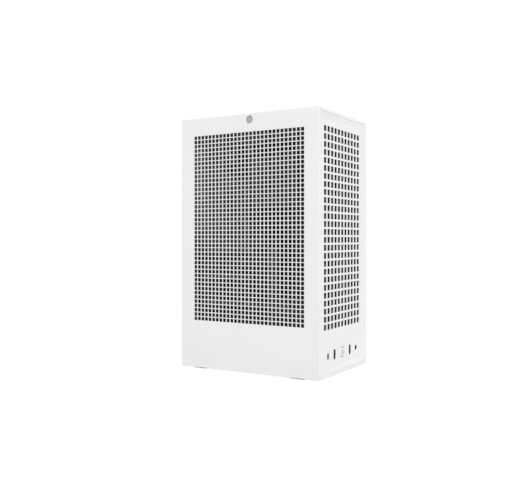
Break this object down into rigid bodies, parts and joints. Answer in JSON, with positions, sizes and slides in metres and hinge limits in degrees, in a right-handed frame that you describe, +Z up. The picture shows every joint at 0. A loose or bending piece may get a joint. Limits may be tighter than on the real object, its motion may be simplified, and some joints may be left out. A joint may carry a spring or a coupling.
{
  "type": "nas enclosure",
  "caption": "Upright white network-storage enclosure with perforated pull-off panels, front ports, a pull-up carry handle, a drive cage and fans inside.",
  "frame": {"origin": "middle of the footprint, at the level of the feet's undersides", "axes": "+Z up; the front with the ports faces -Y; +X is to the right as seen from the front"},
  "size_m": [0.178, 0.253, 0.409],
  "materials": {
    "white_coated_steel": "fine-textured white powder coat",
    "black_coated_steel": "satin black powder coat",
    "zinc_plated_steel": "zinc-plated, pressed",
    "black_plastic": "moulded, fine grain",
    "white_plastic": "moulded, fine grain",
    "grey_plastic": "moulded, satin",
    "foot_rubber": "moulded rubber",
    "filter_cloth": "fine black nylon mesh",
    "circuit_board": "dark green solder mask over glass fibre",
    "cast_aluminium": "cast and machined, satin"
  },
  "bodies": {
    "chassis": {"base_pan": "white_coated_steel", "front_left_foot": "foot_rubber", "front_right_foot": "foot_rubber", "rear_left_foot": "foot_rubber", "rear_right_foot": "foot_rubber", "top_cover": "white_coated_steel", "handle_tray": "white_plastic", "left_peg_sleeve": "black_plastic", "right_peg_sleeve": "black_plastic", "top_deck": "white_coated_steel", "front_frame": "white_coated_steel", "rear_frame": "white_coated_steel", "mainboard_tray": "white_coated_steel", "front_fan_frame": "black_plastic", "rear_fan_frame": "black_plastic", "power_supply_case": "black_coated_steel", "power_supply_board": "circuit_board", "power_supply_socket": "black_plastic", "power_supply_bracket": "white_coated_steel", "mains_inlet": "black_plastic", "drive_cage": "white_coated_steel", "drive_sled_1": "black_plastic", "drive_sled_2": "black_plastic", "drive_sled_3": "black_plastic", "hard_drive_1": "cast_aluminium", "hard_drive_2": "cast_aluminium", "hard_drive_3": "cast_aluminium", "backplane": "circuit_board", "mainboard": "circuit_board", "processor_heatsink": "cast_aluminium", "memory_module_1": "circuit_board", "memory_module_2": "circuit_board", "rear_sockets": "zinc_plated_steel", "socket_shield": "zinc_plated_steel", "slot_cover_1": "white_coated_steel", "slot_cover_2": "white_coated_steel", "thumb_screw_1": "zinc_plated_steel", "thumb_screw_2": "zinc_plated_steel", "port_board": "circuit_board", "usb_c_socket": "zinc_plated_steel", "left_usb_socket": "zinc_plated_steel", "right_usb_socket": "zinc_plated_steel", "audio_socket": "black_plastic", "power_switch": "black_plastic"},
    "left_panel": {"left_side_panel": "white_coated_steel", "left_dust_filter": "filter_cloth"},
    "right_panel": {"right_side_panel": "white_coated_steel", "right_dust_filter": "filter_cloth"},
    "front_cover": {"front_panel": "white_coated_steel", "front_dust_filter": "filter_cloth"},
    "handle": {"carry_handle": "white_coated_steel"},
    "left_peg": {"left_headset_peg": "grey_plastic"},
    "right_peg": {"right_headset_peg": "grey_plastic"},
    "button": {"power_button": "white_plastic"},
    "front_fan": {"front_fan_rotor": "black_plastic"},
    "rear_fan": {"rear_fan_rotor": "black_plastic"},
    "supply_fan": {"power_supply_rotor": "black_plastic"},
    "rocker": {"power_supply_rocker": "black_plastic"}
  },
  "joints": [
    {"name": "left_panel_pull", "type": "slide", "parent": "chassis", "child": "left_panel", "axis": [-1, 0, 0], "range_m": [0, 0.05]},
    {"name": "right_panel_pull", "type": "slide", "parent": "chassis", "child": "right_panel", "axis": [1, 0, 0], "range_m": [0, 0.05]},
    {"name": "front_panel_pull", "type": "slide", "parent": "chassis", "child": "front_cover", "axis": [0, -1, 0], "range_m": [0, 0.04]},
    {"name": "handle_lift", "type": "slide", "parent": "chassis", "child": "handle", "axis": [0, 0, 1], "range_m": [0, 0.028]},
    {"name": "left_peg_slide", "type": "slide", "parent": "chassis", "child": "left_peg", "axis": [-1, 0, 0], "range_m": [0, 0.028]},
    {"name": "right_peg_slide", "type": "slide", "parent": "chassis", "child": "right_peg", "axis": [1, 0, 0], "range_m": [0, 0.028]},
    {"name": "power_button_press", "type": "slide", "parent": "chassis", "child": "button", "axis": [0, 1, 0], "range_m": [0, 0.0015], "stiffness_N_per_m": 700},
    {"name": "front_fan_spin", "type": "hinge", "parent": "chassis", "child": "front_fan", "pos_m": [0, -0.103, 0.32], "axis": [0, 1, 0], "continuous": true},
    {"name": "rear_fan_spin", "type": "hinge", "parent": "chassis", "child": "rear_fan", "pos_m": [0, 0.104, 0.135], "axis": [0, 1, 0], "continuous": true},
    {"name": "supply_fan_spin", "type": "hinge", "parent": "chassis", "child": "supply_fan", "pos_m": [-0.005, -0.092, 0.1835], "axis": [0, 1, 0], "continuous": true},
    {"name": "supply_rocker_tilt", "type": "hinge", "parent": "chassis", "child": "rocker", "pos_m": [-0.0555, -0.068, 0.192], "axis": [0, 1, 0], "range_deg": [-10, 10]}
  ]
}
